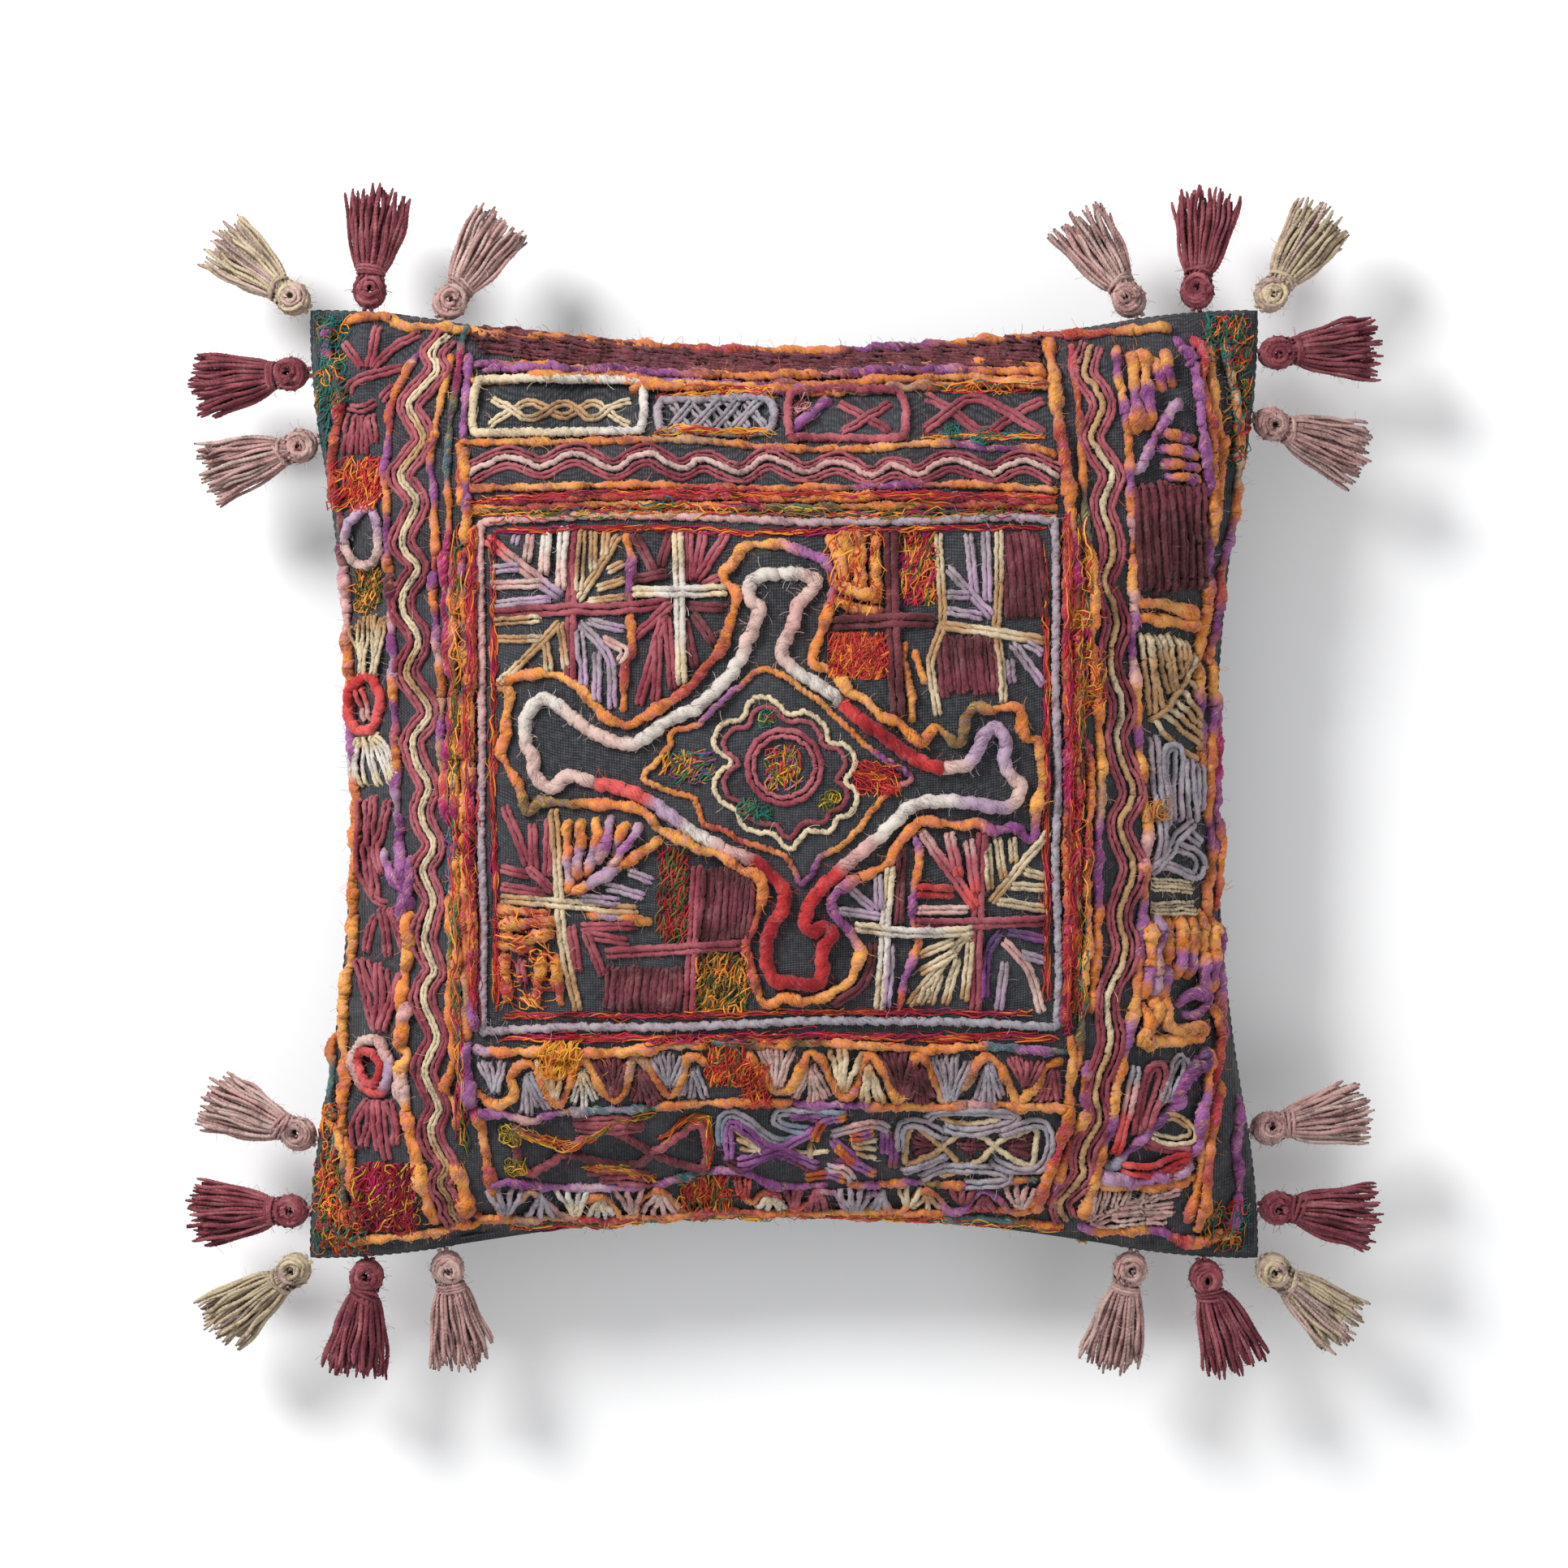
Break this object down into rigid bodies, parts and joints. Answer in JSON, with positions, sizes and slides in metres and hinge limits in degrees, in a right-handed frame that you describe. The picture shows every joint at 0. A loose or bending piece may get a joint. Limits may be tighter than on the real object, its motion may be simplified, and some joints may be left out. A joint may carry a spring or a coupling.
{
  "type": "throw pillow",
  "caption": "Square throw pillow with a couched-cord embroidered face, tassels at its corners, a zipped cover and a filled inner cushion.",
  "frame": {"origin": "middle of the flat patch that the pillow rests on, at the resting surface", "axes": "+Z out of the embroidered face, +Y towards the pillow's top edge, +X to the right across the face"},
  "size_m": [0.5698, 0.5689, 0.1294],
  "materials": {
    "canvas": "matt woven charcoal cotton canvas",
    "ticking": "matt woven off-white cotton",
    "fibre": "loose white polyester fibre",
    "cream_wool": "matt fuzzy wool yarn",
    "rose_wool": "matt fuzzy wool yarn",
    "pink_wool": "matt fuzzy wool yarn",
    "lilac_wool": "matt fuzzy wool yarn",
    "medallion_wool": "thick wool cord, white through pink to red",
    "slub_silk": "orange and purple slubby silk cord",
    "zip_tape": "woven polyester tape",
    "zip_coil": "nylon coil",
    "zip_metal": "antique brass"
  },
  "bodies": {
    "pillow": {"cover_front": "canvas", "cover_back": "canvas", "ticking_front": "ticking", "ticking_back": "ticking", "fibre_fill": "fibre", "zip_tape_front": "zip_tape", "zip_coil_front": "zip_coil", "zip_tape_back": "zip_tape", "zip_coil_back": "zip_coil", "zip_top_stop": "zip_metal", "zip_bottom_stop": "zip_metal", "medallion_cord": "medallion_wool", "diamond_cord": "slub_silk", "flower_cord": "cream_wool", "ring_cord": "rose_wool", "border_cord": "lilac_wool"},
    "tassel_top_left_corner_cream": {"tassel_top_left_corner_cream": "cream_wool", "binding_top_left_corner_cream": "cream_wool"},
    "tassel_top_left_top_rose": {"tassel_top_left_top_rose": "rose_wool", "binding_top_left_top_rose": "rose_wool"},
    "tassel_top_left_top_pink": {"tassel_top_left_top_pink": "pink_wool", "binding_top_left_top_pink": "pink_wool"},
    "tassel_top_left_left_rose": {"tassel_top_left_left_rose": "rose_wool", "binding_top_left_left_rose": "rose_wool"},
    "tassel_top_left_left_pink": {"tassel_top_left_left_pink": "pink_wool", "binding_top_left_left_pink": "pink_wool"},
    "tassel_top_right_corner_cream": {"tassel_top_right_corner_cream": "cream_wool", "binding_top_right_corner_cream": "cream_wool"},
    "tassel_top_right_top_rose": {"tassel_top_right_top_rose": "rose_wool", "binding_top_right_top_rose": "rose_wool"},
    "tassel_top_right_top_pink": {"tassel_top_right_top_pink": "pink_wool", "binding_top_right_top_pink": "pink_wool"},
    "tassel_top_right_right_rose": {"tassel_top_right_right_rose": "rose_wool", "binding_top_right_right_rose": "rose_wool"},
    "tassel_top_right_right_pink": {"tassel_top_right_right_pink": "pink_wool", "binding_top_right_right_pink": "pink_wool"},
    "tassel_bottom_left_corner_cream": {"tassel_bottom_left_corner_cream": "cream_wool", "binding_bottom_left_corner_cream": "cream_wool"},
    "tassel_bottom_left_bottom_rose": {"tassel_bottom_left_bottom_rose": "rose_wool", "binding_bottom_left_bottom_rose": "rose_wool"},
    "tassel_bottom_left_bottom_pink": {"tassel_bottom_left_bottom_pink": "pink_wool", "binding_bottom_left_bottom_pink": "pink_wool"},
    "tassel_bottom_left_left_rose": {"tassel_bottom_left_left_rose": "rose_wool", "binding_bottom_left_left_rose": "rose_wool"},
    "tassel_bottom_left_left_pink": {"tassel_bottom_left_left_pink": "pink_wool", "binding_bottom_left_left_pink": "pink_wool"},
    "tassel_bottom_right_corner_cream": {"tassel_bottom_right_corner_cream": "cream_wool", "binding_bottom_right_corner_cream": "cream_wool"},
    "tassel_bottom_right_bottom_rose": {"tassel_bottom_right_bottom_rose": "rose_wool", "binding_bottom_right_bottom_rose": "rose_wool"},
    "tassel_bottom_right_bottom_pink": {"tassel_bottom_right_bottom_pink": "pink_wool", "binding_bottom_right_bottom_pink": "pink_wool"},
    "tassel_bottom_right_right_rose": {"tassel_bottom_right_right_rose": "rose_wool", "binding_bottom_right_right_rose": "rose_wool"},
    "tassel_bottom_right_right_pink": {"tassel_bottom_right_right_pink": "pink_wool", "binding_bottom_right_right_pink": "pink_wool"},
    "slider": {"zip_slider": "zip_metal"},
    "pull_tab": {"zip_pull_tab": "zip_metal"}
  },
  "joints": [
    {"name": "swing_top_left_corner_cream", "type": "hinge", "parent": "pillow", "child": "tassel_top_left_corner_cream", "pos_m": [-0.222, 0.222, 0.054], "axis": [0.5736, 0.8192, 0], "range_deg": [-38, 60]},
    {"name": "swing_top_left_top_rose", "type": "hinge", "parent": "pillow", "child": "tassel_top_left_top_rose", "pos_m": [-0.195, 0.22103, 0.05732], "axis": [0.9976, -0.0698, 0], "range_deg": [-38, 60]},
    {"name": "swing_top_left_top_pink", "type": "hinge", "parent": "pillow", "child": "tassel_top_left_top_pink", "pos_m": [-0.162, 0.21717, 0.05921], "axis": [0.829, -0.5592, 0], "range_deg": [-38, 60]},
    {"name": "swing_top_left_left_rose", "type": "hinge", "parent": "pillow", "child": "tassel_top_left_left_rose", "pos_m": [-0.22088, 0.193, 0.05749], "axis": [-0.0872, 0.9962, 0], "range_deg": [-38, 60]},
    {"name": "swing_top_left_left_pink", "type": "hinge", "parent": "pillow", "child": "tassel_top_left_left_pink", "pos_m": [-0.21717, 0.162, 0.05921], "axis": [-0.342, 0.9397, 0], "range_deg": [-38, 60]},
    {"name": "swing_top_right_corner_cream", "type": "hinge", "parent": "pillow", "child": "tassel_top_right_corner_cream", "pos_m": [0.222, 0.222, 0.054], "axis": [0.7771, -0.6293, 0], "range_deg": [-38, 60]},
    {"name": "swing_top_right_top_rose", "type": "hinge", "parent": "pillow", "child": "tassel_top_right_top_rose", "pos_m": [0.193, 0.22088, 0.05749], "axis": [0.9976, -0.0698, 0], "range_deg": [-38, 60]},
    {"name": "swing_top_right_top_pink", "type": "hinge", "parent": "pillow", "child": "tassel_top_right_top_pink", "pos_m": [0.167, 0.21794, 0.05903], "axis": [0.866, 0.5, 0], "range_deg": [-38, 60]},
    {"name": "swing_top_right_right_rose", "type": "hinge", "parent": "pillow", "child": "tassel_top_right_right_rose", "pos_m": [0.22141, 0.201, 0.05675], "axis": [0.1219, -0.9925, 0], "range_deg": [-38, 60]},
    {"name": "swing_top_right_right_pink", "type": "hinge", "parent": "pillow", "child": "tassel_top_right_right_pink", "pos_m": [0.21865, 0.172, 0.05881], "axis": [-0.3256, -0.9455, 0], "range_deg": [-38, 60]},
    {"name": "swing_bottom_left_corner_cream", "type": "hinge", "parent": "pillow", "child": "tassel_bottom_left_corner_cream", "pos_m": [-0.222, -0.222, 0.054], "axis": [-0.6293, 0.7771, 0], "range_deg": [-38, 60]},
    {"name": "swing_bottom_left_bottom_rose", "type": "hinge", "parent": "pillow", "child": "tassel_bottom_left_bottom_rose", "pos_m": [-0.194, -0.22095, 0.0574], "axis": [-0.9877, 0.1564, 0], "range_deg": [-38, 60]},
    {"name": "swing_bottom_left_bottom_pink", "type": "hinge", "parent": "pillow", "child": "tassel_bottom_left_bottom_pink", "pos_m": [-0.16, -0.21684, 0.05927], "axis": [-0.9781, -0.2079, 0], "range_deg": [-38, 60]},
    {"name": "swing_bottom_left_left_rose", "type": "hinge", "parent": "pillow", "child": "tassel_bottom_left_left_rose", "pos_m": [-0.22135, -0.2, 0.05685], "axis": [-0.0175, 0.9998, 0], "range_deg": [-38, 60]},
    {"name": "swing_bottom_left_left_pink", "type": "hinge", "parent": "pillow", "child": "tassel_bottom_left_left_pink", "pos_m": [-0.21809, -0.168, 0.05899], "axis": [0.4067, 0.9135, 0], "range_deg": [-38, 60]},
    {"name": "swing_bottom_right_corner_cream", "type": "hinge", "parent": "pillow", "child": "tassel_bottom_right_corner_cream", "pos_m": [0.222, -0.222, 0.054], "axis": [-0.6293, -0.7771, 0], "range_deg": [-38, 60]},
    {"name": "swing_bottom_right_bottom_rose", "type": "hinge", "parent": "pillow", "child": "tassel_bottom_right_bottom_rose", "pos_m": [0.195, -0.22103, 0.05732], "axis": [-0.9659, -0.2588, 0], "range_deg": [-38, 60]},
    {"name": "swing_bottom_right_bottom_pink", "type": "hinge", "parent": "pillow", "child": "tassel_bottom_right_bottom_pink", "pos_m": [0.164, -0.21749, 0.05914], "axis": [-0.9781, 0.2079, 0], "range_deg": [-38, 60]},
    {"name": "swing_bottom_right_right_rose", "type": "hinge", "parent": "pillow", "child": "tassel_bottom_right_right_rose", "pos_m": [0.22123, -0.198, 0.05704], "axis": [-0.0698, -0.9976, 0], "range_deg": [-38, 60]},
    {"name": "swing_bottom_right_right_pink", "type": "hinge", "parent": "pillow", "child": "tassel_bottom_right_right_pink", "pos_m": [0.21749, -0.164, 0.05914], "axis": [0.2588, -0.9659, 0], "range_deg": [-38, 60]},
    {"name": "zip_slide", "type": "hinge", "parent": "pillow", "child": "slider", "pos_m": [0, -1.06923, 0.06], "axis": [0, 0, 1], "range_deg": [0, 18.55]},
    {"name": "tab_swing", "type": "hinge", "parent": "slider", "child": "pull_tab", "pos_m": [0.13974, -0.21424, 0.06], "axis": [-0.9869, 0.1613, 0], "range_deg": [0, 150]}
  ]
}
